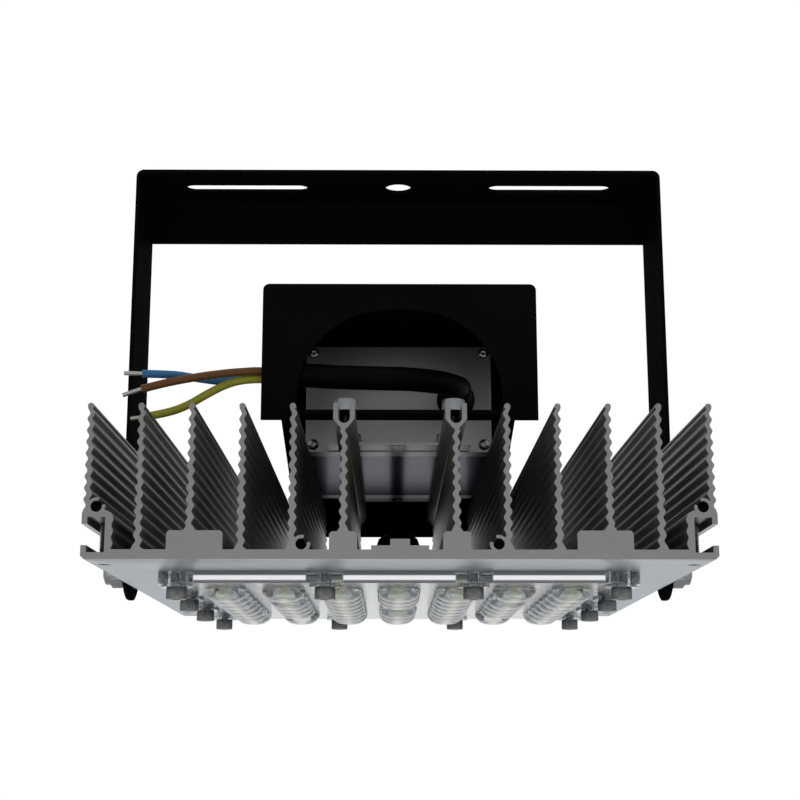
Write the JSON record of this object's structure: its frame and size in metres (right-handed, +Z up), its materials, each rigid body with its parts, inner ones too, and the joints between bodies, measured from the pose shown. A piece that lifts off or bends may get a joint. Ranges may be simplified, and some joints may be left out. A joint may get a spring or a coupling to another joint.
{
  "type": "led flood light",
  "caption": "Tilting flood light: finned aluminium heat sink with a lens plate below, a hooded driver above and a bent steel mounting yoke.",
  "frame": {"origin": "centre of the crossbar's middle hole, on the crossbar's top face", "axes": "+Z up out of the crossbar, +X along the crossbar, +Y away from the side where the mains cable shows"},
  "size_m": [0.229, 0.2415, 0.1767],
  "materials": {
    "bare_aluminium": "extruded, satin",
    "black_steel": "powder coated, satin",
    "zinc_steel": "zinc plated",
    "bright_zinc": "bright zinc plated",
    "clear_lens": "moulded, clear",
    "silicone": "matt",
    "white_board": "solder mask, white",
    "green_board": "solder mask, green",
    "led_phosphor": "silicone over phosphor",
    "black_nylon": "moulded",
    "black_rubber": "satin",
    "case_aluminium": "anodised, satin",
    "grey_cap": "moulded, satin",
    "brown_pvc": "extruded, satin",
    "blue_pvc": "extruded, satin",
    "green_yellow_pvc": "extruded, satin",
    "tinned_copper": "tinned strands"
  },
  "bodies": {
    "yoke": {"yoke": "black_steel"},
    "lamp": {"heat_sink": "bare_aluminium", "channel_screws": "zinc_steel", "lens_plate": "clear_lens", "lens_gasket": "silicone", "led_board": "white_board", "leds": "led_phosphor", "board_screws": "zinc_steel", "lens_screws": "zinc_steel", "gland_body": "black_nylon", "gland_seal": "black_rubber", "gland_nut": "black_nylon", "driver_lead": "black_rubber", "hood": "black_steel", "hood_front_screws": "bright_zinc", "hood_rear_screws": "bright_zinc", "driver_case": "case_aluminium", "driver_board": "green_board", "driver_front_cap": "grey_cap", "driver_rear_cap": "grey_cap", "driver_cap_screws": "bright_zinc", "driver_mount_screws": "bright_zinc", "mains_strain_relief": "black_rubber", "lead_strain_relief": "black_rubber", "mains_cable": "black_rubber", "core_brown": "brown_pvc", "core_blue": "blue_pvc", "core_green_yellow": "green_yellow_pvc", "wire_ends": "tinned_copper", "pivot_bolts": "zinc_steel", "pivot_spacers": "zinc_steel", "pivot_washers": "bright_zinc", "pivot_lock_nuts": "bright_zinc"}
  },
  "joints": [
    {"name": "tilt", "type": "hinge", "parent": "yoke", "child": "lamp", "pos_m": [0, 0, -0.16], "axis": [1, 0, 0], "range_deg": [-90, 38]}
  ]
}
